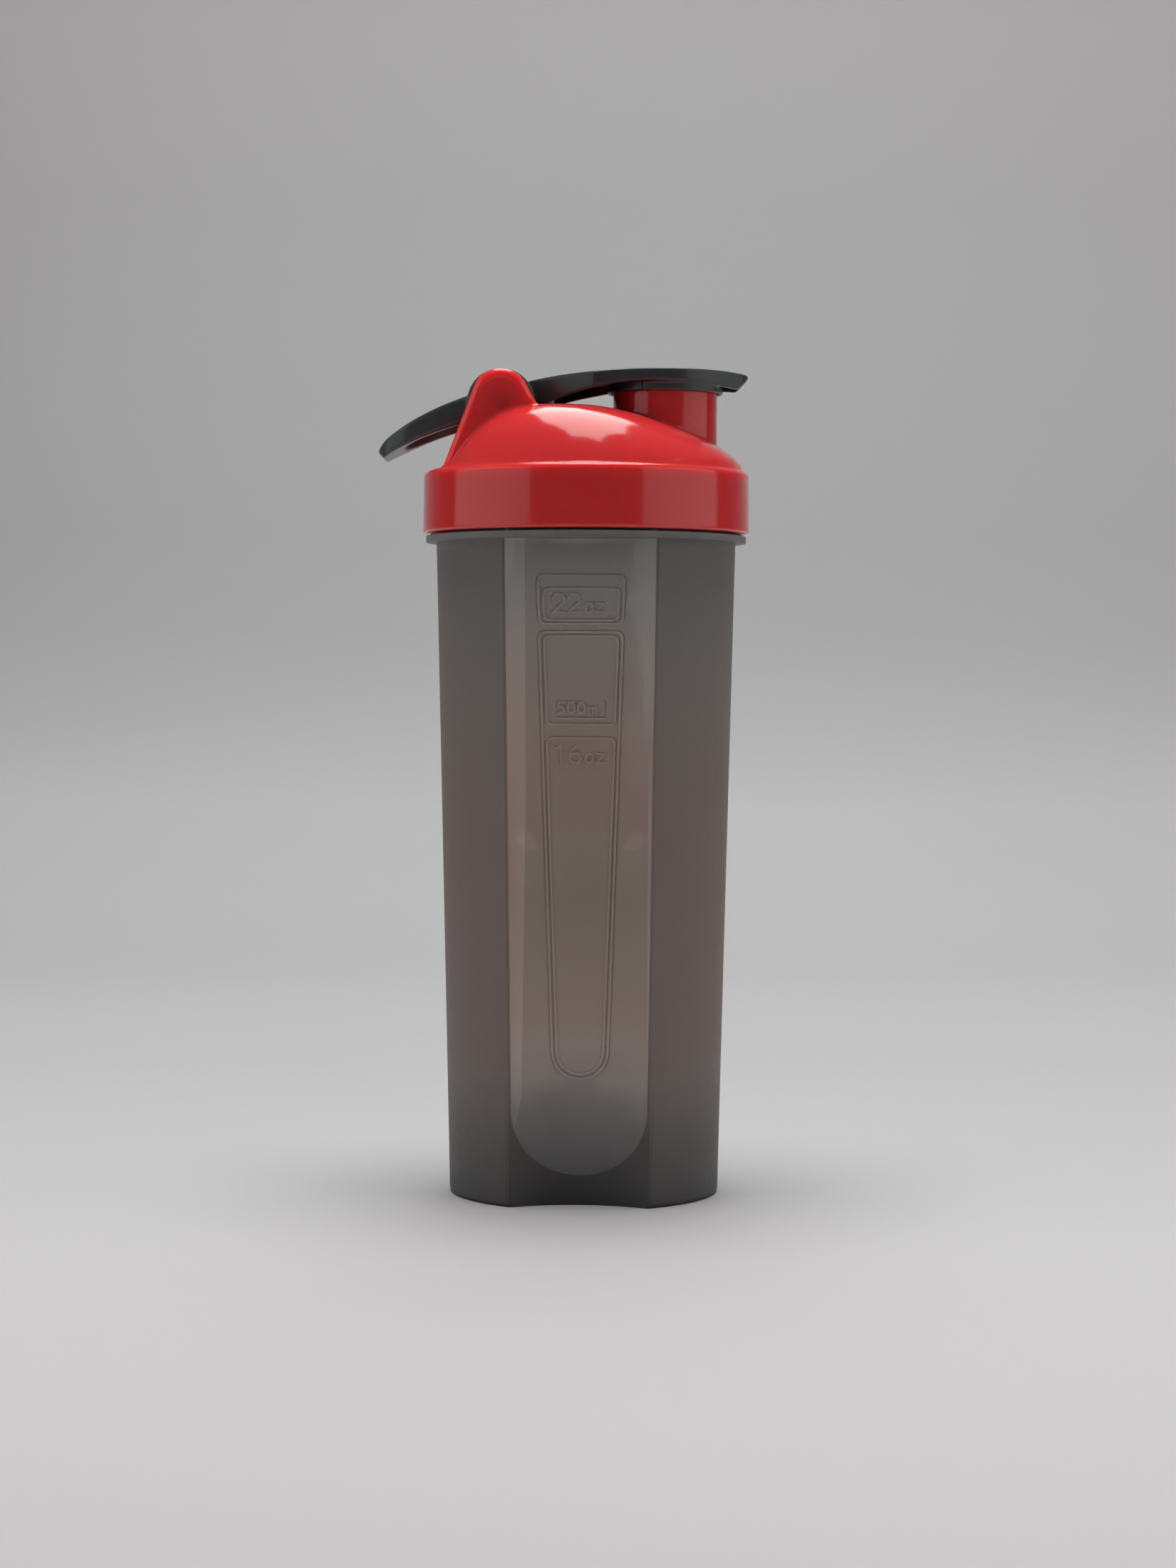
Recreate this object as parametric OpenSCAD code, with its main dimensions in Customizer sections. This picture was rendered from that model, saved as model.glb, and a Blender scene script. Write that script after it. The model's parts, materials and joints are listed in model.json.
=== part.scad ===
// Protein shaker bottle: a translucent cup with two finger panels, a screw lid with a drinking
// spout, and a flip cap and a carry loop that swing on one pin.
// The origin is the centre of the standing ring, +Z is up and +X points towards the spout.

/* [Cup] */
// Outer diameter of the cup where it stands
cup_base_d = 74.4; // [73:0.1:76]
// Outer diameter of the cup just under the flange
cup_top_d = 82.6; // [81.5:0.1:83]
// Height of the cup's body, from the table to the flange
body_h = 179.5; // [150:0.5:200]
// Wall thickness of the cup
cup_wall = 1.8; // [1.5:0.1:2.2]
// Turn of the finger panels from the hinge line when the lid is tight, in degrees
panel_turn = -2.3; // [-8:0.1:8]
// Depth of the U-shaped sink in each finger panel
sink_depth = 0.6; // [0.3:0.1:0.8]

/* [Lid] */
// Outer diameter of the collar at its lower edge
collar_d = 90; // [89.5:0.1:91]
// Height of the collar
collar_h = 17; // [17:0.5:19]
// Height of the dome above the collar
dome_h = 17.9; // [17:0.1:18]
// Wall thickness of the dome
lid_wall = 1.8; // [1.4:0.1:2]
// Pitch of the screw thread
pitch = 6; // [6:0.5:7]

/* [Spout, cap and loop] */
// Distance from the cup's axis to the spout's axis
spout_x = 21.7; // [21:0.1:22.5]
// Outer diameter of the spout
spout_d = 28.7; // [28:0.1:29]
// Width of the flip cap
cap_w = 34; // [32:0.5:35]
// Width of the carry loop
loop_w = 28; // [26:0.5:32]
// Diameter of the hinge pin
pin_d = 5; // [4:0.5:6]

/* [Hidden] */
$fn = 96;

far = 60;                               // beyond every piece
fit = 0.05;                             // radial running clearance on the pin
gap = 0.3;                              // clearance between pieces that move apart

// Cup
base_r = cup_base_d / 2;
top_r = cup_top_d / 2;
floor_z = 3.2;
foot_h = 1.4;                           // height of the standing ring
foot_w = 2.6;                           // width of the standing ring
flange_r = 44.15;
flange_t = 1.7;
neck_r = 39.6;
neck_in_r = 38;
neck_h = 15.7;                          // from the flange's underside to the rim
rim_z = body_h + neck_h;

// Finger panels: each is a hollow cut by a leaning cone
panel_r = 34.9;                         // radius of the hollow at the base
panel_y = 61.6;                         // distance from the cup's axis to the cone's axis at the base
panel_flare = 6.8 / 180;                // growth of the radius with height
panel_lean = atan(10 / 180);
sink_half_w = 18.3;
sink_top_half = 20.3;
sink_z = 7.8;                           // lowest point of the sink

// Graduations, raised on the front panel's sink
mark_w = 0.55;
mark_h = 0.35;
strip_top_z = body_h - 9.6;
strip_z = 34;                           // lowest point of the strip
strip_top_half = 11.9;
strip_half = 7.8;

// Numerals and letters, each a line through points on a grid 1 wide, with small letters 1 high
sign_1 = [[0.1, 1.6], [0.6, 2], [0.6, 0]];
sign_2 = [[0, 1.6], [0.25, 2], [0.75, 2], [1, 1.6], [0.9, 1.1], [0, 0], [1, 0]];
sign_5 = [[0.95, 2], [0.1, 2], [0.05, 1.2], [0.7, 1.2], [1, 0.8], [0.9, 0.2], [0.6, 0], [0, 0]];
sign_6 = [[0.8, 2], [0.2, 1.4], [0, 0.4], [0.3, 0], [0.8, 0], [1, 0.5], [0.8, 1.1], [0.05, 1]];
sign_0 = [[0.3, 0], [0, 0.5], [0, 1.5], [0.3, 2], [0.7, 2], [1, 1.5], [1, 0.5], [0.7, 0], [0.3, 0]];
sign_o = [[0.3, 0], [0, 0.3], [0, 0.7], [0.3, 1], [0.7, 1], [1, 0.7], [1, 0.3], [0.7, 0], [0.3, 0]];
sign_z = [[0, 1], [1, 1], [0, 0], [1, 0]];
sign_m = [[0, 0], [0, 1], [1, 1], [1, 0], [1, 1], [0.5, 1], [0.5, 0]];
sign_l = [[0.5, 0], [0.5, 2]];

// Lid
collar_r = collar_d / 2;
collar_in_r = 42.5;
collar_z = body_h + flange_t + 0.7;
shoulder_z = collar_z + collar_h;
plate_z = shoulder_z - 1.6;             // underside of the lid's plate
mouth_r = 36;
sleeve_r = 37.5;                        // outer radius of the sleeve that enters the cup
sleeve_h = 8.3;
gasket_t = 1.5;

dome_r = 43.3;
peak_x = -8;                            // where the dome is highest

hinge = [-23.2, 0, shoulder_z + 18];
hub_r = 9.2;
ear_r = 7.8;
ear_rise = 1.1;                         // the ear's round top is centred this far above the pin
ear_in_y = 18.5;
ear_t = 3;
ear_left = [-38.9, shoulder_z - 0.2];
ear_right = [-4.6, shoulder_z + 1.1];
socket_y = 20.5;                        // half the distance between the pin sockets' ends

spout_r = spout_d / 2;
spout_in_r = spout_r - 1.8;
spout_z = shoulder_z + 24;

// Flip cap
cap_z = spout_z + 4.6;                  // highest point of the cap
cap_apex_x = 20;
cap_arc_r = 170;                        // lengthwise curve of the top
cap_crown_r = 131;                      // crosswise curve of the top
cap_skin = 1.9;
cap_tip_x = 44.6;
arch_left_r = 84;                       // lengthwise curves of the cap's lower edge
arch_right_r = 142;
tip_r = 7;
knuckle_y = 9.6;
skirt_r = spout_r + 2;
skirt_in_r = spout_r + 0.65;
skirt_z = spout_z - 2.5;
pad_z = spout_z + 1;                    // flat seat for the seal

// Carry loop
loop_top = [-8.3, shoulder_z - 53.3, 77.2];      // X, Z and radius of its upper curve
loop_nose = [-47.5, shoulder_z + 0.1, 11];       // of the curve round its tip
loop_under = [-7.1, shoulder_z - 81.2, 97.4];    // of its lower curve
loop_tip_x = -57.4;
hole_x = -50;                           // the finger hole's far end
hub_half = 18;                          // half the width of the barrel on the pin
lug_y = 10;

// ---------- helpers ----------

function arc(cx, cy, r, from, to, steps = 8) =
    [for (i = [0:steps]) let (a = from + (to - from) * i / steps) [cx + r * cos(a), cy + r * sin(a)]];

// Angle at which a line from point p touches the circle of radius r round c; side is 1 or -1
function touch(c, r, p, side) =
    let (d = p - c) atan2(d[1], d[0]) + side * acos(r / norm(d));

// Extrudes an outline drawn in X and Z from Y = -half to Y = half
module across(half) {
    rotate([90, 0, 0]) translate([0, 0, -half]) linear_extrude(2 * half) children();
}

module rod_y(r, half, at = hinge) {
    translate(at) rotate([90, 0, 0]) cylinder(r = r, h = 2 * half, center = true);
}

module slab(z0, z1) {
    translate([-far, -far, z0]) cube([2 * far, 2 * far, z1 - z0]);
}

// One screw ridge with tapered ends; root and crest are radii, the helix is right-handed
module ridge(root, crest, z0, turns, steps = 48) {
    function taper(i) = min(1, 0.2 + 0.2 * min(i, steps - i));
    function section(i) =
        let (a = 360 * turns * i / steps, z = z0 + pitch * turns * i / steps,
             tip = root + (crest - root) * taper(i))
        [for (p = [[root, -1.2], [tip, -0.5], [tip, 0.5], [root, 1.2]]) [p[0] * cos(a), p[0] * sin(a), z + p[1]]];
    points = [for (i = [0:steps]) each section(i)];
    // Corners 1 to 4 of a side, then the same quad the other way round for a ridge inside a wall
    function quad(q) = crest > root ? [[q[3], q[2], q[1]], [q[3], q[1], q[0]]]
                                    : [[q[0], q[1], q[2]], [q[0], q[2], q[3]]];
    sides = [for (i = [0:steps - 1], k = [0:3]) let (s = 4 * i, n = (k + 1) % 4)
             each quad([s + k, s + 4 + k, s + 4 + n, s + n])];
    ends = [each quad([0, 1, 2, 3]), each quad([for (k = [3:-1:0]) 4 * steps + k])];
    polyhedron(points, concat(sides, ends));
}

// ---------- cup ----------

module panels(grow, z0, z1) {
    below = 20;
    tall = body_h + 2 * below;
    intersection() {
        for (turn = [0, 180])
            rotate([0, 0, turn]) translate([0, -panel_y, 0]) rotate([panel_lean, 0, 0])
                translate([0, 0, -below])
                    cylinder(r1 = panel_r + grow - below * panel_flare,
                             r2 = panel_r + grow + (tall - below) * panel_flare, h = tall);
        slab(z0, z1);
    }
}

// Closed U outline in X and Z: half widths at the bottom and the top, and its height
module u_outline(half, half_top, z0, z1) {
    polygon(concat(arc(0, z0 + half, half, 180, 360, 24), [[half_top, z1], [-half_top, z1]]));
}

module sink() {
    intersection() {
        panels(sink_depth, sink_z, body_h);
        across(far) u_outline(sink_half_w, sink_top_half, sink_z, body_h + 1);
    }
}

module stroke(a, b) {
    d = b - a;
    translate(a) rotate(atan2(d[1], d[0]))
        translate([-mark_w / 2, -mark_w / 2]) square([norm(d) + mark_w, mark_w]);
}

module sign(path, w, h) {
    p = [for (q = path) [q[0] * w, q[1] * h / 2]];
    for (i = [0:len(p) - 2]) stroke(p[i], p[i + 1]);
}

// A line of signs from x at height z, each w wide and h high; small letters are half as high
module label(signs, x, z, w, h) {
    for (i = [0:len(signs) - 1])
        translate([x + i * (w + 1.3 * mark_w + 0.3), z]) sign(signs[i], w, h);
}

// Half the strip's width at height z
function strip_w(z) = strip_half + (strip_top_half - strip_half) * (z - strip_z) / (strip_top_z - strip_z);

// A box with round corners that follows the strip's taper, inset from the strip's edges
function box_points(z0, z1, inset, r) =
    let (b = strip_w(z0) - inset, t = strip_w(z1) - inset)
    concat(arc(b - r, z0 + r, r, 270, 360, 3), arc(t - r, z1 - r, r, 0, 90, 3),
           arc(r - t, z1 - r, r, 90, 180, 3), arc(r - b, z0 + r, r, 180, 270, 3));

// The same with a bottom that is half a circle
function tongue_points(z0, z1, inset, r) =
    let (b = strip_half - inset, t = strip_w(z1) - inset)
    concat(arc(0, z0 + b, b, 180, 360, 20), arc(t - r, z1 - r, r, 0, 90, 3), arc(r - t, z1 - r, r, 90, 180, 3));

module box_line(z0, z1, inset, r = 1.8) {
    difference() {
        polygon(box_points(z0, z1, inset, r));
        polygon(box_points(z0 + mark_w, z1 - mark_w, inset + mark_w, r - mark_w));
    }
}

module tongue_line(z0, z1, inset, r = 1.8) {
    difference() {
        polygon(tongue_points(z0, z1, inset, r));
        polygon(tongue_points(z0 + mark_w, z1 - mark_w, inset + mark_w, r - mark_w));
    }
}

module marks() {
    box_line(strip_top_z - 13.4, strip_top_z, 0);
    box_line(strip_top_z - 12.5, strip_top_z - 3.5, 1.3);
    tongue_line(strip_z, strip_top_z - 15.1, 0);
    box_line(strip_top_z - 40.4, strip_top_z - 16.2, 1.2);
    tongue_line(strip_z + 1.2, strip_top_z - 43.5, 1.2);
    label([sign_2, sign_2], -7.6, strip_top_z - 10.1, 3.1, 4.8);
    label([sign_o, sign_z], 1.2, strip_top_z - 10.1, 1.9, 4.8);
    label([sign_1, sign_6], -7.3, strip_top_z - 50.3, 3.1, 4.6);
    label([sign_o, sign_z], 1.4, strip_top_z - 50.3, 1.9, 4.6);
    label([sign_5, sign_0, sign_0], -6.2, strip_top_z - 37, 1.7, 2.8);
    label([sign_m, sign_l], 2.2, strip_top_z - 37, 1.9, 2.8);
    translate([-6.5, strip_top_z - 38.8]) square([13, mark_w]);
}

module graduations() {
    intersection() {
        difference() {
            panels(sink_depth + 0.3, strip_z - 5, body_h);
            panels(sink_depth - mark_h, strip_z - 10, body_h + 1);
        }
        rotate([90, 0, 0]) linear_extrude(far) marks();
    }
}

module cup() {
    edge = 1.5;
    color("dimgray", 0.75) rotate([0, 0, panel_turn]) {
        difference() {
            union() {
                difference() {
                    rotate_extrude()
                        polygon(concat([[0, 0]], arc(base_r - edge, edge, edge, 270, 360, 6),
                                       [[top_r, body_h + 0.5], [0, body_h + 0.5]]));
                    panels(0, -1, body_h);
                }
                translate([0, 0, body_h]) cylinder(r = flange_r, h = flange_t);
                translate([0, 0, body_h]) cylinder(r = neck_r, h = neck_h);
                ridge(neck_r - 0.3, neck_r + 1.8, body_h + 6.2, 1.25);
            }
            difference() {
                rotate_extrude()
                    polygon([[0, floor_z], [base_r - cup_wall, floor_z],
                             [top_r - cup_wall, body_h - 2], [neck_in_r, body_h + 1.6],
                             [neck_in_r, rim_z + 1], [0, rim_z + 1]]);
                panels(cup_wall, -1, body_h + flange_t - 0.2);
            }
            difference() {
                translate([0, 0, -1]) cylinder(r = base_r - foot_w, h = foot_h + 1);
                panels(foot_w, -2, foot_h + 1);
            }
            sink();
        }
        graduations();
    }
}

// ---------- lid ----------

// Reach of the dome's outline from its peak in direction a
function dome_reach(a, inset) = sqrt(pow(dome_r - inset, 2) - pow(peak_x * sin(a), 2)) - peak_x * cos(a);

// Height of the dome at a share u of its reach: full at the sides, a long slope towards the spout
function dome_rise(a, u) =
    let (side = pow(sin(a), 2))
    pow(max(0, 1 - pow(u, 2.8 - 1.35 * cos(a) + 2.15 * side)), 0.87 - 0.3 * cos(a) + 0.19 * side);

module dome(inset, sides, rings) {
    skirt = 0.2;
    function ring(u, sink = 0) =
        [for (j = [0:sides - 1]) let (a = 360 * j / sides, r = u * dome_reach(a, inset))
         [peak_x + r * cos(a), r * sin(a), shoulder_z + (dome_h - inset) * dome_rise(a, u) - sink]];
    points = concat([[peak_x, 0, shoulder_z + dome_h - inset]],
                    [for (i = [1:rings]) each ring(sin(90 * i / rings))],
                    ring(1, skirt));
    cap = [for (j = [0:sides - 1]) [0, 1 + (j + 1) % sides, 1 + j]];
    bands = [for (i = [0:rings - 1], j = [0:sides - 1]) let (n = (j + 1) % sides, s = 1 + i * sides)
             each [[s + j, s + n, s + sides + n], [s + j, s + sides + n, s + sides + j]]];
    bottom = [[for (j = [0:sides - 1]) 1 + rings * sides + j]];
    polyhedron(points, concat(cap, bands, bottom));
}

module ear_outline(inset = 0) {
    c = [hinge[0], hinge[2] + ear_rise];
    left = ear_left + [inset, 0];
    right = ear_right - [inset, 0];
    r = ear_r - inset;
    polygon(concat([left], arc(c[0], c[1], r, touch(c, r, left, -1) + 360, touch(c, r, right, 1), 20), [right]));
}

module ears() {
    for (side = [-1, 1])
        difference() {
            translate([0, side * (ear_in_y + ear_t / 2), 0]) across(ear_t / 2) ear_outline();
            translate([0, side * (ear_in_y + ear_t + 0.7), 0]) across(1) ear_outline(1.3);
        }
}

// Room for the barrel and, behind it, for the loop
module loop_space(grow, half) {
    rod_y(hub_r + grow, half);
    across(half)
        polygon([[hinge[0] - 3, hinge[2] - hub_r + 0.4], [hinge[0] - 3, hinge[2]], [-far, hinge[2]],
                 [-far, shoulder_z + 1.1 - 1.3 * grow], [-39.4, shoulder_z + 1.1 - 1.3 * grow],
                 [hinge[0] - 3.4, hinge[2] - 6.8 - 1.3 * grow]]);
}

module collar() {
    edge = 1.4;
    rotate_extrude()
        polygon(concat([[collar_in_r, collar_z], [collar_r - 0.4, collar_z], [collar_r, collar_z + 0.4]],
                       arc(collar_r - 0.2 - edge, shoulder_z - edge, edge, 0, 90, 6),
                       [[mouth_r, shoulder_z], [mouth_r, plate_z - sleeve_h], [sleeve_r - 0.5, plate_z - sleeve_h],
                        [sleeve_r, plate_z - sleeve_h + 0.8], [sleeve_r, plate_z], [collar_in_r, plate_z]]));
}

module spout() {
    lip = 0.8;
    translate([spout_x, 0, 0]) rotate_extrude()
        polygon(concat([[0, shoulder_z]], [[spout_r, shoulder_z]],
                       arc(spout_r - lip, spout_z - lip, lip, 0, 90, 4), [[0, spout_z]]));
}

module lid_shell() {
    color("firebrick") difference() {
        union() {
            collar();
            dome(0, 64, 12);
            ears();
            spout();
            ridge(collar_in_r + 0.3, neck_r + 0.6, body_h + 3.9, 1.0);
        }
        difference() {
            dome(lid_wall, 48, 8);
            loop_space(2.4, ear_in_y + lid_wall);
        }
        translate([0, 0, plate_z - 1]) cylinder(r = mouth_r, h = shoulder_z - plate_z + 1.3);
        loop_space(0.6, ear_in_y);
        rod_y(pin_d / 2, socket_y);
        translate([spout_x, 0, shoulder_z + 1]) cylinder(r = spout_in_r, h = far);
    }
}

module lid_gasket() {
    color("whitesmoke") translate([0, 0, rim_z + gap]) difference() {
        cylinder(r = neck_r, h = gasket_t);
        translate([0, 0, -1]) cylinder(r = sleeve_r + gap, h = gasket_t + 2);
    }
}

module mixing_grid() {
    z = plate_z - sleeve_h + 1.2;
    cell = 6.2;
    bar = 1.2;
    color("gainsboro") translate([0, 0, z]) {
        difference() {
            cylinder(r = mouth_r, h = 5);
            translate([0, 0, -1]) cylinder(r = mouth_r - 1.6, h = 7);
        }
        linear_extrude(1.6) intersection() {
            circle(mouth_r - 0.8);
            for (i = [-5:5], turn = [0, 90])
                rotate(turn) translate([-far, i * cell - bar / 2]) square([2 * far, bar]);
        }
    }
}

module hinge_pin() {
    color("silver") rod_y(pin_d / 2, socket_y);
}

// ---------- flip cap ----------

// Height of the cap's top along its middle, lowered by inset
function cap_top(x, inset) = cap_z - inset - cap_arc_r + sqrt(pow(cap_arc_r, 2) - pow(x - cap_apex_x, 2));

// Lower edge of the cap's side: an arch over the spout that ends level above the dome
function cap_under(x) =
    let (r = x < cap_apex_x ? arch_left_r : arch_right_r)
    max(spout_z + 0.2 - r + sqrt(pow(r, 2) - pow(x - cap_apex_x, 2)), shoulder_z + dome_h + 0.5);

module crowned_body(inset, x0, x1, steps = 28) {
    axis_z = cap_z - cap_crown_r;
    translate([0, 0, axis_z]) rotate([0, 90, 0]) rotate_extrude()
        polygon(concat([[0, x0]],
                       [for (i = [0:steps]) let (x = x0 + (x1 - x0) * i / steps) [cap_top(x, inset) - axis_z, x]],
                       [[0, x1]]));
}

// Outline seen from above: narrow between the loop's lugs, full width over the spout, round tip
module cap_plan(inset = 0) {
    half = cap_w / 2 - inset;
    neck = knuckle_y - 0.3 - inset;
    turn = acos((cap_w / 2 - tip_r) / (cap_tip_x - tip_r - spout_x));
    polygon(concat(arc(cap_tip_x - tip_r, 0, tip_r - inset, -turn, turn, 14),
                   arc(spout_x, 0, half, turn, 90, 6), [[2, half], [hinge[0] + 9.3, neck]],
                   [[hinge[0] + 9.3, -neck], [2, -half]], arc(spout_x, 0, half, -90, -turn, 6)));
}

module cap_side() {
    steps = 24;
    polygon(concat([for (i = [0:steps]) let (x = -15 + (41 + 15) * i / steps) [x, cap_under(x)]],
                   [[41.3, cap_under(41.3)], [cap_tip_x - 1, spout_z + 0.7], [cap_tip_x - 0.2, spout_z + 1.7],
                    [cap_tip_x, spout_z + 2.8], [cap_tip_x, far * 4], [-15, far * 4]]));
}

module flip_cap() {
    color([0.16, 0.16, 0.17]) difference() {
        union() {
            intersection() {
                crowned_body(0, hinge[0], cap_tip_x + 1);
                translate([0, 0, shoulder_z]) linear_extrude(far) cap_plan();
                across(far) cap_side();
            }
            rod_y(hub_r, knuckle_y);
            intersection() {
                translate([spout_x, 0, skirt_z]) cylinder(r = skirt_r, h = far);
                crowned_body(0.3, 0, cap_tip_x);
            }
            intersection() {
                translate([hinge[0], -knuckle_y + 0.3, shoulder_z + dome_h + 0.5])
                    cube([12, 2 * knuckle_y - 0.6, far]);
                crowned_body(0, hinge[0] - 1, 0);
            }
        }
        difference() {
            intersection() {
                crowned_body(cap_skin, -9, cap_tip_x - 2);
                translate([0, 0, shoulder_z]) linear_extrude(far) cap_plan(2);
                slab(shoulder_z, spout_z + far);
            }
            translate([spout_x, 0, shoulder_z]) cylinder(r = skirt_r - 0.4, h = far);
        }
        translate([spout_x, 0, shoulder_z]) cylinder(r = skirt_in_r, h = pad_z - shoulder_z);
        rod_y(pin_d / 2 + fit, far);
    }
    color([0.16, 0.16, 0.17]) translate([spout_x, 0, pad_z - 3]) cylinder(r = 4.5, h = 3.4);
}

module spout_seal() {
    r = spout_in_r - 0.35;
    color("darkgray") translate([spout_x, 0, 0]) rotate_extrude()
        polygon([[4.5, pad_z - 3], [4.5, pad_z], [spout_r - 0.2, pad_z], [spout_r - 0.2, spout_z + gap],
                 [r, spout_z + gap], [r, spout_z - 1.5], [r - 0.8, spout_z - 3.4], [r - 2.2, spout_z - 3.4],
                 [r - 2.2, pad_z - 1.6], [6.5, pad_z - 1.6], [6.5, pad_z - 3]]);
}

// ---------- carry loop ----------

// Outline seen from above: straight sides that end in two round corners at x0
module strap(x0, half, corner) {
    for (side = [-1, 1])
        translate([x0 + corner, side * (half - corner)]) circle(corner);
    translate([x0, corner - half]) square([corner, 2 * (half - corner)]);
    translate([x0 + corner, -half]) square([far, 2 * half]);
}

module loop_side() {
    polygon(concat(arc(loop_top[0], loop_top[1], loop_top[2], 104.5, 126.3, 20),
                   arc(loop_nose[0], loop_nose[1], loop_nose[2], 128, 153, 5),
                   [[-55.4, shoulder_z + 3.1]],
                   arc(loop_under[0], loop_under[1], loop_under[2], 118.8, 101.8, 16)));
}

module carry_loop() {
    color([0.15, 0.15, 0.16]) difference() {
        union() {
            intersection() {
                across(far) loop_side();
                translate([0, 0, shoulder_z - 5]) linear_extrude(far) strap(loop_tip_x, loop_w / 2, 11);
            }
            rod_y(hub_r, hub_half);
        }
        translate([0, 0, shoulder_z - 6]) linear_extrude(far) strap(hole_x, lug_y, 7);
        rod_y(pin_d / 2 + fit, far);
    }
}

cup();
lid_shell();
lid_gasket();
mixing_grid();
hinge_pin();
flip_cap();
spout_seal();
carry_loop();
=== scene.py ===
import json
import math

import bpy
import numpy as np
from mathutils import Matrix, Vector


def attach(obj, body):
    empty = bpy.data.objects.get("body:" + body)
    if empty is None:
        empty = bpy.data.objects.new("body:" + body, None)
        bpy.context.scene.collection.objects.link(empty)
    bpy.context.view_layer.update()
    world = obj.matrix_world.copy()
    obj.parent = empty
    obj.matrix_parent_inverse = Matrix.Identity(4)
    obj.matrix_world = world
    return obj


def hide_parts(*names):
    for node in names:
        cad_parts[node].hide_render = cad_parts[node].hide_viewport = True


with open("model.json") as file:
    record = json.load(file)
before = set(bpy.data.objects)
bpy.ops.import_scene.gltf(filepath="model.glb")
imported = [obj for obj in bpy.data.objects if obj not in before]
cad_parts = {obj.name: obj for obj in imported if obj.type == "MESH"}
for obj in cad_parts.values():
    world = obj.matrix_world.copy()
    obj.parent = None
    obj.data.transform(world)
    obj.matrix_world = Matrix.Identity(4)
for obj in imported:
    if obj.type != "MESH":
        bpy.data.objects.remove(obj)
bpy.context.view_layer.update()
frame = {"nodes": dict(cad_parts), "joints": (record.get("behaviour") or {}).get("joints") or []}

MM = 0.001

# ---------- sizes of the solids that the looks follow, in millimetres ----------

HINGE_X, HINGE_Z = (next(j for j in frame["joints"] if j["name"] == "flip_cap_hinge")["pos_m"][i] / MM for i in (0, 2))

PANEL_TURN = math.radians(-2.3)                 # the finger panels' turn round the cup's axis
PANEL_AXIS, PANEL_LEAN = 61.6, math.atan(10 / 180)  # each is cut by a cone: how far out its axis is, and its lean
PANEL_RADIUS, PANEL_FLARE = 34.9, 6.8 / 180     # the cone's radius at the floor, and its growth with height
SINK_HALF, SINK_FLARE = 18.5, 0.0115            # half the width of the sink in a panel

SHOULDER = HINGE_Z - 18                         # top of the collar
DOME_PEAK, DOME_RADIUS, DOME_HEIGHT = -8, 43.3, 17.9
COLLAR_FOOT, COLLAR_RADIUS, COLLAR_DRAFT, COLLAR_EDGE = 182.3, 45, 0.2, 1.4
SPOUT_X, SPOUT_RADIUS, SPOUT_TOP = 21.7, 14.35, SHOULDER + 22.6
EAR_FACE, EAR_RADIUS, EAR_CENTRE = 21.5, 7.8, HINGE_Z + 1.1
EAR_FRONT, EAR_BACK = 28.4, 159.1               # where the ear's round top meets its straight sides, in degrees
EAR_EDGE, EAR_DIP = 2.0, 0.22                   # rounding of its outer edge, and how far its face sinks


# ---------- small node helpers ----------

def shader(name):
    mat = bpy.data.materials.new(name)
    mat.use_nodes = True
    return mat, mat.node_tree, mat.node_tree.nodes["Principled BSDF"]


def add(tree, kind, links=(), **values):
    """A node with its sockets set: links holds (input name or index, output socket or value) pairs."""
    node = tree.nodes.new(kind)
    for key, value in values.items():
        setattr(node, key, value)
    for key, socket in links:
        if hasattr(socket, "is_output"):
            tree.links.new(socket, node.inputs[key])
        else:
            node.inputs[key].default_value = socket
    return node


def maths(tree, operation, *terms):
    return add(tree, "ShaderNodeMath", list(enumerate(terms)), operation=operation).outputs[0]


def plus(tree, a, b):
    return maths(tree, "ADD", a, b)


def minus(tree, a, b):
    return maths(tree, "SUBTRACT", a, b)


def times(tree, a, b):
    return maths(tree, "MULTIPLY", a, b)


def place(tree):
    return add(tree, "ShaderNodeTexCoord").outputs["Object"]


def split(tree, vector):
    axes = add(tree, "ShaderNodeSeparateXYZ", [("Vector", vector)]).outputs
    return axes["X"], axes["Y"], axes["Z"]


def noise(tree, where, scale, detail=3.0):
    return add(tree, "ShaderNodeTexNoise",
               [("Vector", where), ("Scale", scale), ("Detail", detail), ("Roughness", 0.55)]).outputs["Fac"]


def spread(tree, value, low, high, a=0.3, b=0.7):
    """Maps value from a..b, which is most of a noise's range, to low..high, and holds it there beyond a and b."""
    return add(tree, "ShaderNodeMapRange",
               [("Value", value), ("From Min", a), ("From Max", b), ("To Min", low), ("To Max", high)]).outputs[0]


def ramp(tree, value, *stops):
    """Straight lines between (value, level) stops, as one chain of ranges."""
    total = stops[0][1]
    for (a, low), (b, high) in zip(stops, stops[1:]):
        total = plus(tree, spread(tree, value, 0.0, high - low, a, b), total)
    return total


def ramp_mm(tree, value, *stops):
    """The same, with the stops' values in millimetres."""
    return ramp(tree, value, *((a * MM, level) for a, level in stops))


def tint(tree, factor, first, second):
    mix = add(tree, "ShaderNodeMix", data_type="RGBA")
    tree.links.new(factor, mix.inputs["Factor"])
    for key, colour in (("A", first), ("B", second)):
        socket = next(s for s in mix.inputs if s.name == key and s.type == "RGBA")
        if hasattr(colour, "is_output"):
            tree.links.new(colour, socket)
        else:
            socket.default_value = (*colour, 1)
    return next(s for s in mix.outputs if s.type == "RGBA")


def bump(tree, bsdf, height, strength, distance):
    node = add(tree, "ShaderNodeBump", [("Height", height), ("Strength", strength), ("Distance", distance)])
    tree.links.new(node.outputs[0], bsdf.inputs["Normal"])


# ---------- materials ----------

DRIFT, GLOSS_DRIFT = 60, 240                    # noise scales: how fast a moulding's colour and gloss wander
COAT_ROUGH = 0.05
SOAK, SOAK_RADIUS = 6 * MM, (1.0, 0.1, 0.1)     # how far light soaks into the red plastic, and how much less G and B


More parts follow.
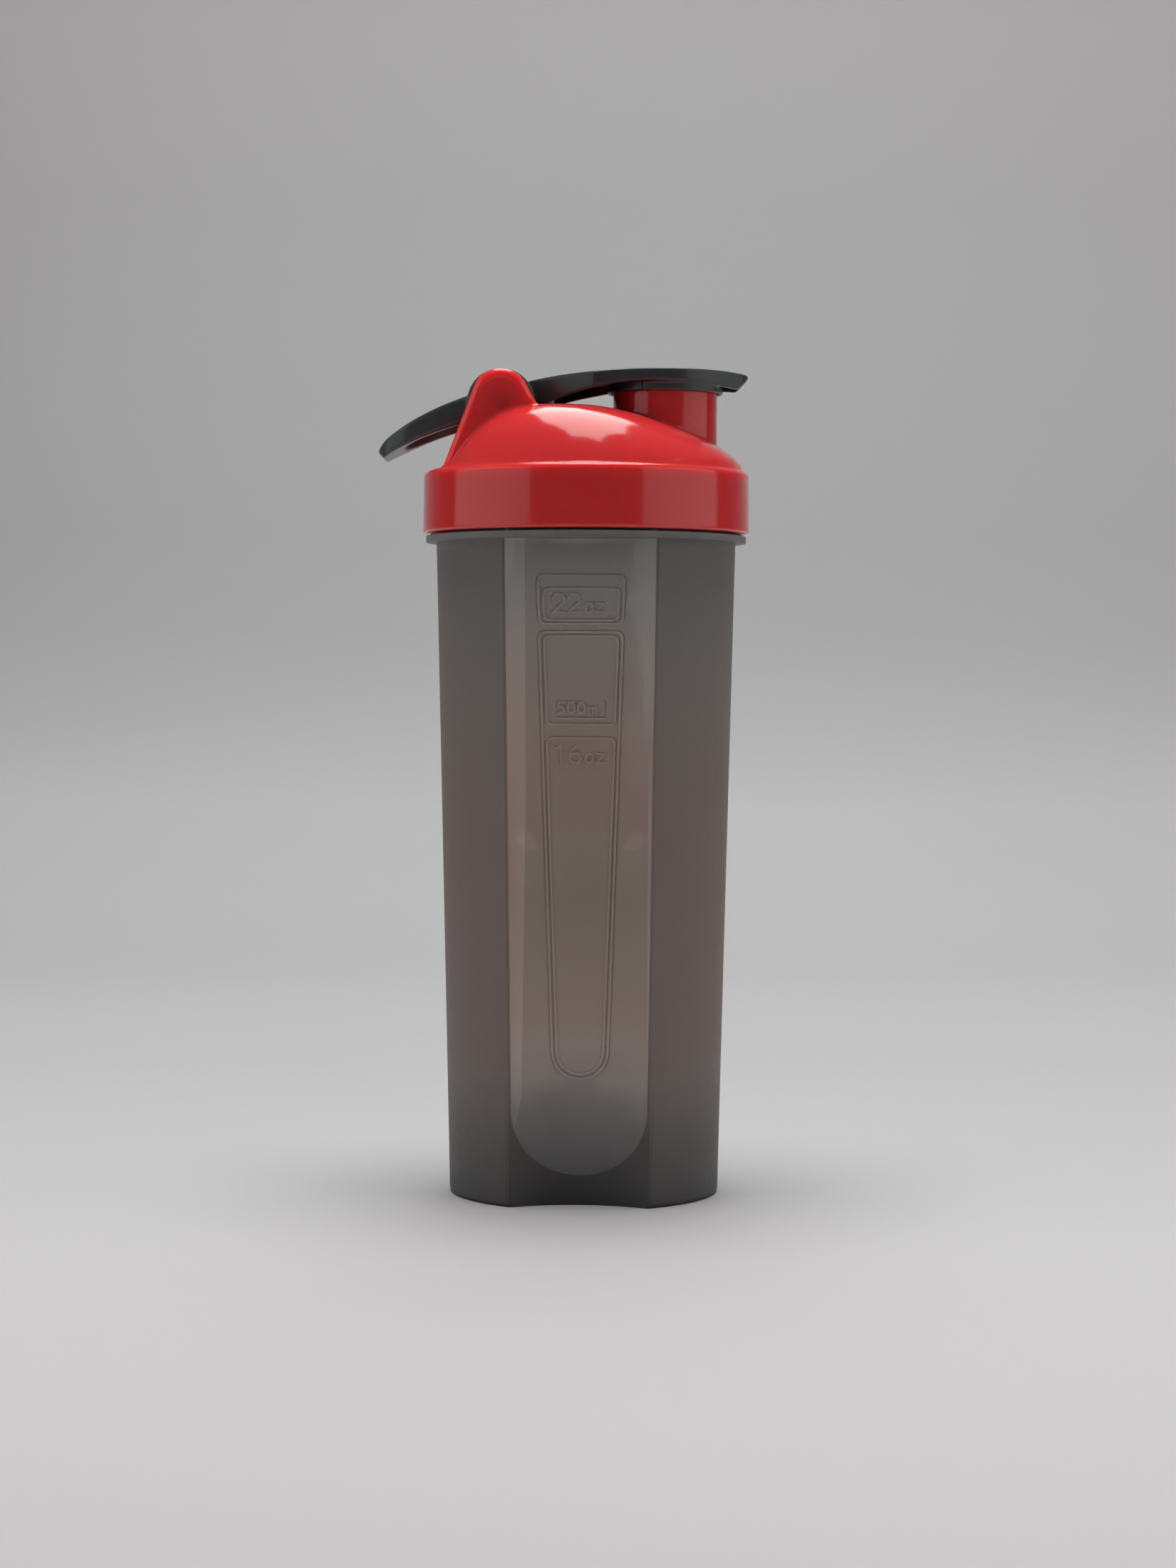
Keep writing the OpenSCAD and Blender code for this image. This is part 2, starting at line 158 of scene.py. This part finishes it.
def moulded(name, colour, shade, rough, grain, depth, coat=0.0, glow=0.0):
    """Injection-moulded plastic: a faint drift in colour and gloss, and a fine grain. Light soaks in by glow."""
    mat, tree, bsdf = shader(name)
    where = place(tree)
    tree.links.new(tint(tree, noise(tree, where, DRIFT), colour, shade), bsdf.inputs["Base Color"])
    tree.links.new(spread(tree, noise(tree, where, GLOSS_DRIFT), rough * 0.85, rough * 1.15), bsdf.inputs["Roughness"])
    bump(tree, bsdf, noise(tree, where, grain, 2), 0.5, depth)
    bsdf.inputs["Coat Weight"].default_value = coat
    bsdf.inputs["Coat Roughness"].default_value = COAT_ROUGH
    bsdf.inputs["Subsurface Weight"].default_value = glow
    bsdf.inputs["Subsurface Radius"].default_value = SOAK_RADIUS
    bsdf.inputs["Subsurface Scale"].default_value = SOAK
    return mat


def panel_depth(tree, x, y, z):
    """Distance below the panel's leaning cone: 0 on the panel, 0.25 mm on the raised lines, 0.6 mm in the sink."""
    out = minus(tree, PANEL_AXIS * MM, maths(tree, "ABSOLUTE", y))
    cos, sin = math.cos(PANEL_LEAN), math.sin(PANEL_LEAN)
    across = plus(tree, times(tree, out, cos), times(tree, z, sin))
    along = minus(tree, times(tree, z, cos), times(tree, out, sin))
    reach = maths(tree, "SQRT", plus(tree, maths(tree, "POWER", x, 2.0), maths(tree, "POWER", across, 2.0)))
    return minus(tree, reach, plus(tree, times(tree, along, PANEL_FLARE), PANEL_RADIUS * MM))


def painted_light_walls(tree, x, y, z):
    """Mask for painted light: 1 on the sink's left wall and on the lower part of its right wall, which catch more of
    the light inside.
    """
    hand = times(tree, x, times(tree, maths(tree, "SIGN", y), -1.0))
    edge = ramp_mm(tree, z, (16, -18 * MM), (30, -15.4 * MM), (110, -14.5 * MM), (180, -14.9 * MM))
    left = spread(tree, minus(tree, edge, hand), 0.0, 1.0, 0.0, 0.3 * MM)
    right = times(tree, spread(tree, hand, 0.0, 1.0, 18.0 * MM, 18.4 * MM),
                  spread(tree, z, 1.0, 0.0, 105 * MM, 125 * MM))
    return maths(tree, "MAXIMUM", left, right)


def cup_plastic():
    """Smoke-grey translucent plastic: frosted outside, polished in the sinks of the two finger panels, where the
    raised lines are paler. The light from inside is painted into its colour: a painted glow makes its middle lighter,
    with more painted light in the sinks, and painted shade leaves both ends and the foot darker."""
    mat, tree, bsdf = shader("cup_plastic")
    where = place(tree)
    turned = add(tree, "ShaderNodeVectorRotate", [("Vector", where), ("Angle", -PANEL_TURN)], rotation_type="Z_AXIS")
    x, y, z = split(tree, turned.outputs[0])
    haze = noise(tree, where, 420, 4)

    # Where on the cup: on a panel, in its sink, on the raised lines in the sink
    depth = panel_depth(tree, x, y, z)
    panel = spread(tree, depth, 1.0, 0.0, 0.9 * MM, 1.2 * MM)
    inside = minus(tree, plus(tree, times(tree, z, SINK_FLARE), SINK_HALF * MM), maths(tree, "ABSOLUTE", x))
    sunk = times(tree, spread(tree, inside, 0.0, 1.0, 0.0, 0.1 * MM),
                 times(tree, panel, spread(tree, depth, 0.0, 1.0, 0.06 * MM, 0.1 * MM)))
    lines = times(tree, sunk, spread(tree, depth, 1.0, 0.0, 0.34 * MM, 0.44 * MM))

    # Gloss
    rough = add(tree, "ShaderNodeMix", [("Factor", sunk), ("A", spread(tree, haze, 0.5, 0.6)),
                                        ("B", spread(tree, haze, 0.2, 0.24))], data_type="FLOAT")
    tree.links.new(rough.outputs[0], bsdf.inputs["Roughness"])
    tree.links.new(times(tree, sunk, 0.8), bsdf.inputs["Coat Weight"])
    bsdf.inputs["Coat Roughness"].default_value = COAT_ROUGH
    bsdf.inputs["Transmission Weight"].default_value = 0.18
    bsdf.inputs["Specular IOR Level"].default_value = 0.35
    bsdf.inputs["IOR"].default_value = 1.49
    bump(tree, bsdf, haze, 0.25, 0.05 * MM)

    # Height for the painted light and shade, with a slow drift, and up to 9 mm more at the sides near the foot, where
    # the painted shade at the foot bows up
    drift = spread(tree, noise(tree, where, 35), -2 * MM, 2 * MM)
    low_sides = times(tree, spread(tree, z, 1.0, 0.0, 50 * MM, 90 * MM), spread(tree, sunk, 1.0, 0.1, 0.0, 1.0))
    bow = times(tree, spread(tree, maths(tree, "POWER", x, 2.0), 0.0, 9 * MM, 0.0, 3e-4), low_sides)
    level = plus(tree, plus(tree, z, drift), bow)

    # Painted light: how light it is at each height, and how much lighter still in the sink and on its walls; the
    # raised lines are paler too, and painted shade darkens the panel under the sink
    glow = ramp_mm(tree, level, (0, 0.25), (16, 0.5), (26, 0.6), (36, 0.82), (44, 0.98), (110, 0.97), (130, 0.97),
                   (152, 0.92), (178, 0.76), (181, 1.15))
    # More painted light in the sink, by height
    clear = ramp_mm(tree, level, (15, 0.05), (21, 0.26), (28.5, 0.6), (34, 1.05), (40, 0.9), (58, 0.68), (83, 0.53),
                    (130, 1.1), (165, 1.15), (178, 0.95))
    # Painted light on the sink's walls
    painted_wall_light = times(tree, times(tree, painted_light_walls(tree, x, y, z), sunk), spread(tree, z, 0.0, 0.56, 16 * MM, 22 * MM))
    # Painted shade on the panel under the sink, near the foot
    painted_shade_under_sink = times(tree, minus(tree, panel, sunk), ramp_mm(tree, z, (15, -0.22), (40, 0.0)))
    extra = plus(tree, times(tree, sunk, clear), times(tree, lines, 0.25))
    extra = plus(tree, extra, plus(tree, painted_wall_light, painted_shade_under_sink))
    strength = times(tree, glow, plus(tree, extra, 1.0))

    # Colour: cool at the ends, with painted warmth from the light inside in the middle, warmest in the sink
    painted_warmth = ramp_mm(tree, level, (14, 0.0), (50, 1.0), (125, 0.85), (174, 0.0))
    warmest = tint(tree, sunk, (0.233, 0.176, 0.158), (0.236, 0.172, 0.141))
    tone = tint(tree, painted_warmth, (0.217, 0.207, 0.200), warmest)
    scaled = add(tree, "ShaderNodeVectorMath", [(0, tone), ("Scale", strength)], operation="SCALE")
    tree.links.new(scaled.outputs[0], bsdf.inputs["Base Color"])
    return mat


def steel():
    """Drawn steel: streaks along the pin."""
    mat, tree, bsdf = shader("pin_steel")
    where = add(tree, "ShaderNodeMapping", [("Vector", place(tree)), ("Scale", (900, 20, 900))]).outputs[0]
    streak = noise(tree, where, 1.0, 4)
    tree.links.new(tint(tree, streak, (0.52, 0.52, 0.53), (0.66, 0.66, 0.66)), bsdf.inputs["Base Color"])
    tree.links.new(spread(tree, streak, 0.22, 0.36), bsdf.inputs["Roughness"])
    bsdf.inputs["Metallic"].default_value = 1.0
    return mat


def paper():
    """Backdrop paper, in metres from the bottle, with painted light: a little paler in front and on the curve than on
    the wall, and paler towards the right.
    """
    mat, tree, bsdf = shader("backdrop_paper")
    where = place(tree)
    x, y, z = split(tree, where)
    back = plus(tree, y, z)
    # Painted light: the paper is paler in front and on the curve, and paler towards the right
    painted_backdrop_light = ramp(tree, back, (-0.3, 0.48), (-0.07, 0.46), (0.29, 0.40), (0.63, 0.41), (0.9, 0.45), (1.1, 0.465),
                (1.25, 0.42), (1.4, 0.387), (1.55, 0.39), (2.0, 0.465), (2.2, 0.53))
    level = plus(tree, times(tree, painted_backdrop_light, spread(tree, x, 0.99, 1.07, -0.45, 0.45)),
                 times(tree, noise(tree, where, 1.4), 0.03))
    tree.links.new(tint(tree, level, (0, 0, 0), (1, 0.93, 0.955)), bsdf.inputs["Base Color"])
    bsdf.inputs["Roughness"].default_value = 0.9
    bsdf.inputs["Specular IOR Level"].default_value = 0.2
    return mat


# name, one colour, the other colour, roughness, grain scale, grain depth
MATERIALS = {
    "cup": cup_plastic(),
    "lid_shell": moulded("lid_plastic", (0.67, 0.028, 0.031), (0.71, 0.032, 0.035), 0.14, 900, 0.002 * MM,
                         coat=0.25, glow=1.0),
    "lid_gasket": moulded("silicone", (0.72, 0.72, 0.70), (0.78, 0.78, 0.76), 0.55, 700, 0.02 * MM),
    "mixing_grid": moulded("grid_plastic", (0.66, 0.66, 0.65), (0.72, 0.72, 0.71), 0.4, 700, 0.02 * MM),
    "hinge_pin": steel(),
    "flip_cap": moulded("black_plastic", (0.026, 0.027, 0.028), (0.036, 0.037, 0.038), 0.36, 1600, 0.02 * MM,
                        coat=0.2),
    "spout_seal": moulded("seal_rubber", (0.05, 0.05, 0.05), (0.065, 0.065, 0.065), 0.7, 700, 0.02 * MM),
    "carry_loop": moulded("loop_plastic", (0.038, 0.039, 0.040), (0.048, 0.049, 0.050), 0.36, 1600, 0.02 * MM,
                          coat=0.2),
}

for name, obj in frame["nodes"].items():
    obj.data.materials.clear()
    obj.data.materials.append(MATERIALS[name])


# ---------- moulded pieces ----------

def moulded_copy(name, node, body, voxel, rounds):
    """The node's solid with every edge rounded as a mould leaves it, shown in place of the node."""
    source = frame["nodes"][node]
    obj = bpy.data.objects.new(name, source.data.copy())
    bpy.context.scene.collection.objects.link(obj)
    remesh = obj.modifiers.new("remesh", "REMESH")
    remesh.mode = "VOXEL"
    remesh.voxel_size = voxel
    soften = obj.modifiers.new("soften", "SMOOTH")
    soften.factor = 0.5
    soften.iterations = rounds
    graph = bpy.context.evaluated_depsgraph_get()
    mesh = bpy.data.meshes.new_from_object(obj.evaluated_get(graph))
    obj.modifiers.clear()
    obj.data = mesh
    mesh.name = name
    mesh.materials.clear()
    mesh.materials.append(MATERIALS[node])
    mesh.shade_smooth()
    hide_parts(node)
    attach(obj, body)
    return obj


def reshape(obj, settle):
    """Moves all the mesh's points at once; settle takes and returns an array in millimetres."""
    mesh = obj.data
    flat = np.empty(3 * len(mesh.vertices))
    mesh.vertices.foreach_get("co", flat)
    points = settle(flat.reshape(-1, 3) / MM) * MM
    mesh.vertices.foreach_set("co", points.ravel())
    mesh.update()


def ease(distance, reach):
    """1 on a surface, falling to 0 at reach from it."""
    return np.clip(1.5 - 1.5 * np.abs(distance) / reach, 0, 1)


def dome_height(x, y):
    """The dome's height over each point, and how far out the point is: 0 at the peak, 1 at the dome's edge."""
    a = np.arctan2(y, x - DOME_PEAK)
    side = np.sin(a) ** 2
    reach = np.sqrt(DOME_RADIUS ** 2 - side * DOME_PEAK ** 2) - DOME_PEAK * np.cos(a)
    out = np.clip(np.hypot(x - DOME_PEAK, y) / reach, 0, 1)
    power, full = 2.8 - 1.35 * np.cos(a) + 2.15 * side, 0.87 - 0.3 * np.cos(a) + 0.19 * side
    return SHOULDER + DOME_HEIGHT * np.maximum(0, 1 - out ** power) ** full, out


def round_ears(x, y, z, dome):
    """Rounds the ears' outer edges and sinks their faces a little, above the dome."""
    turn = np.degrees(np.arctan2(z - EAR_CENTRE, x - HINGE_X)) % 360
    turn = np.where(turn > 270, EAR_FRONT, np.clip(turn, EAR_FRONT, EAR_BACK))
    nx, nz = np.cos(np.radians(turn)), np.sin(np.radians(turn))
    # Each point's distance in from the outline, and down from the face
    edge = EAR_RADIUS - (x - HINGE_X) * nx - (z - EAR_CENTRE) * nz
    down = EAR_FACE - np.abs(y)
    share = np.clip((z - dome - 0.6) / 1.5, 0, 1) * ((down > -0.6) & (down < 2.2) & (edge > -0.8))
    far = np.hypot(EAR_EDGE - edge, EAR_EDGE - down)
    corner = (edge < EAR_EDGE) & (down < EAR_EDGE) & (far > 1.2)
    pull = EAR_EDGE / np.maximum(far, 0.1)
    new_edge = np.where(corner, EAR_EDGE - (EAR_EDGE - edge) * pull, edge)
    new_down = np.where(corner, EAR_EDGE - (EAR_EDGE - down) * pull, down)
    t = np.clip((new_edge - 1.6) / 1.2, 0, 1)
    dip = EAR_DIP * t * t * (3 - 2 * t)
    face = down < 0.9
    new_down = np.where((edge > 1.4) & face, np.maximum(new_down, dip), new_down)
    new_down = np.where((edge >= EAR_EDGE) & face, dip, new_down)
    shift, sink = (edge - new_edge) * share, (new_down - down) * share
    return x + nx * shift, y - np.sign(y) * sink, z + nz * shift


def settle_lid(p):
    """Brings the dome, the collar and the spout back onto their true curves, within 0.5 mm of them."""
    x, y, z = p[:, 0].copy(), p[:, 1].copy(), p[:, 2].copy()
    dome, out = dome_height(x, y)
    spout = np.hypot(x - SPOUT_X, y)
    x, y, z = round_ears(x, y, z, dome)
    between_ears = (np.abs(y) < 22.4) & (x < -2)
    z += np.where((out < 0.985) & (spout > 15) & ~between_ears, ease(z - dome, 0.5) * (dome - z), 0)

    # The collar's wall, then its rounded top edge
    r = np.hypot(x, y)
    bend, inner = SHOULDER - COLLAR_EDGE, 43.4
    wall = COLLAR_RADIUS - COLLAR_DRAFT * (z - COLLAR_FOOT) / (bend - COLLAR_FOOT)
    pull = np.where((z > COLLAR_FOOT) & (z < bend), ease(r - wall, 0.5) * (wall - r), 0)
    far = np.hypot(r - inner, z - bend)
    edge = (z >= bend) & (r > inner) & (np.abs(far - COLLAR_EDGE) < 0.5)
    grow = COLLAR_EDGE / np.maximum(far, 0.1)
    pull = np.where(edge, (r - inner) * (grow - 1), pull)
    z = np.where(edge, bend + (z - bend) * grow, z)
    x, y = x * (1 + pull / np.maximum(r, 1)), y * (1 + pull / np.maximum(r, 1))

    spout = np.hypot(x - SPOUT_X, y)
    tube = (z > dome + 1.2) & (z < SPOUT_TOP)
    pull = np.where(tube, ease(spout - SPOUT_RADIUS, 0.5) * (SPOUT_RADIUS - spout), 0) / np.maximum(spout, 1)
    return np.column_stack((x + (x - SPOUT_X) * pull, y * (1 + pull), z))


lid = moulded_copy("lid", "lid_shell", "lid", 0.42 * MM, 3)
reshape(lid, settle_lid)
cap = moulded_copy("cap", "flip_cap", "flip_cap", 0.3 * MM, 12)
loop = moulded_copy("loop", "carry_loop", "carry_loop", 0.3 * MM, 34)


# ---------- backdrop, lights and camera ----------

def sweep():
    """A sheet of paper: the floor, a wide curve and the wall behind."""
    front, back, bend, top, half = -6.0, 1.6, 0.9, 3.0, 6.0
    profile = [(front, 0.0), (back - bend, 0.0)]
    profile += [(back - bend + bend * math.sin(a), bend - bend * math.cos(a))
                for a in (math.radians(90 * i / 24) for i in range(1, 25))]
    profile.append((back, top))
    mesh = bpy.data.meshes.new("backdrop")
    verts = [(side * half, y, z) for y, z in profile for side in (-1, 1)]
    faces = [(2 * i, 2 * i + 1, 2 * i + 3, 2 * i + 2) for i in range(len(profile) - 1)]
    mesh.from_pydata(verts, [], faces)
    mesh.shade_smooth()
    obj = bpy.data.objects.new("backdrop", mesh)
    bpy.context.scene.collection.objects.link(obj)
    mesh.materials.append(paper())


def softbox(name, at, target, side, radiance):
    """A square soft light that gives light but isn't mirrored."""
    lamp = bpy.data.lights.new(name, "AREA")
    lamp.shape = "RECTANGLE"
    lamp.size = lamp.size_y = side
    lamp.energy = radiance * math.pi * side * side
    obj = bpy.data.objects.new(name, lamp)
    obj.location = at
    obj.rotation_euler = (Vector(target) - Vector(at)).to_track_quat("-Z", "Y").to_euler()
    obj.visible_glossy = False
    bpy.context.scene.collection.objects.link(obj)


def umbrella(name, at, target, half_x, half_y, radiance):
    """Light through an eight-ribbed umbrella: straight ribs, with the cloth drawn in between their tips."""
    ribs, steps, drawn_in = 8, 6, 0.07
    slice_angle = 2 * math.pi / ribs
    count = ribs * steps
    ring = []
    for k in range(count):
        t = k % steps / steps
        r = math.cos(slice_angle / 2) / math.cos(slice_angle * (t - 0.5)) * (1 - drawn_in * math.sin(math.pi * t))
        a = slice_angle * (k / steps + 0.5)
        ring.append((half_x * r * math.cos(a), half_y * r * math.sin(a), 0))
    mesh = bpy.data.meshes.new(name)
    mesh.from_pydata([(0, 0, 0)] + ring, [], [(0, 1 + k, 1 + (k + 1) % count) for k in range(count)])
    mat, _, bsdf = shader(name + "_cloth")
    bsdf.inputs["Emission Color"].default_value = (0.82, 1, 0.95, 1)
    bsdf.inputs["Emission Strength"].default_value = radiance
    mesh.materials.append(mat)
    obj = bpy.data.objects.new(name, mesh)
    obj.location = at
    obj.rotation_euler = (Vector(at) - Vector(target)).to_track_quat("-Z", "Y").to_euler()
    obj.visible_camera = False
    obj.visible_shadow = False
    bpy.context.scene.collection.objects.link(obj)


def lights():
    """Two umbrellas at the sides and a long one above for the highlights, and soft fills for the rest."""
    for side in (-1, 1):
        umbrella("side_umbrella", (side * 0.78, -0.27, 0.42), (0, 0, 0.3), 0.58, 0.5, 0.09)
        softbox("side_fill", (side * 1.4, 0.3, 0.9), (0, 0, 0.1), 0.9, 0.5)
    umbrella("top_umbrella", (0.02, 0.42, 1.15), (0.02, 0.32, 0.2), 0.32, 0.74, 3.7)
    softbox("top_fill", (0.0, 0.0, 1.6), (0, 0, 0), 0.9, 8.6)
    world = bpy.data.worlds.new("studio")
    world.use_nodes = True
    world.node_tree.nodes["Background"].inputs["Color"].default_value = (0.97, 0.97, 1.0, 1)
    world.node_tree.nodes["Background"].inputs["Strength"].default_value = 0.09
    bpy.context.scene.world = world


def camera():
    """At the photo's height, distance, tilt and roll, with its field of view."""
    place_at, tilt_down, roll = (0.8 * MM, -0.89, 0.1425), 1.905, 0.22
    cam = bpy.data.cameras.new("camera")
    cam.lens = 73.74
    cam.clip_start = 0.05
    obj = bpy.data.objects.new("camera", cam)
    turn = Matrix.Rotation(math.radians(90 - tilt_down), 4, "X") @ Matrix.Rotation(math.radians(roll), 4, "Z")
    obj.matrix_world = Matrix.Translation(place_at) @ turn
    bpy.context.scene.collection.objects.link(obj)
    bpy.context.scene.camera = obj


sweep()
lights()
camera()
bpy.context.scene.view_settings.view_transform = "Standard"
